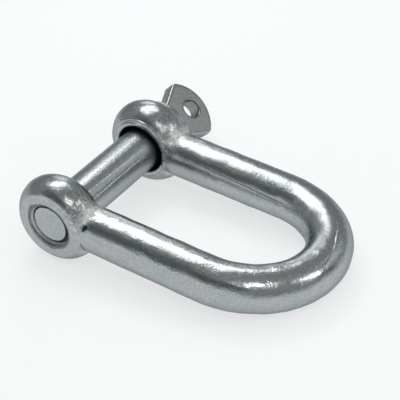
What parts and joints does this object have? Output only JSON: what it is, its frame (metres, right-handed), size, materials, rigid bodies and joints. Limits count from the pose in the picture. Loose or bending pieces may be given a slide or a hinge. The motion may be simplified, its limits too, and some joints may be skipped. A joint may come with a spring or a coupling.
{
  "type": "dee shackle",
  "caption": "Zinc-plated forged dee shackle: a D-shaped round-bar bow with two barrel ears, closed by a one-piece screw pin with a flat fan-shaped eye.",
  "frame": {"origin": "on the pin's axis, half way between the two legs, which is the middle of the jaw", "axes": "+X from the pin to the crown, along the legs. +Y along the pin towards its eye, which is the way it is pulled out. +Z square to the flat of the D, up when the shackle lies on it"},
  "size_m": [0.1087, 0.0895, 0.031],
  "materials": {
    "bow_zinc": "bright zinc plate over a forged, slightly hammered surface",
    "pin_zinc": "bright zinc plate over a drawn shank, with faint lines along it"
  },
  "bodies": {
    "bow": {"bow": "bow_zinc"},
    "screw_pin": {"screw_pin": "pin_zinc"}
  },
  "joints": [
    {"name": "pin_withdraw", "type": "slide", "parent": "bow", "child": "screw_pin", "axis": [0, 1, 0], "range_m": [0, 0.07]}
  ]
}
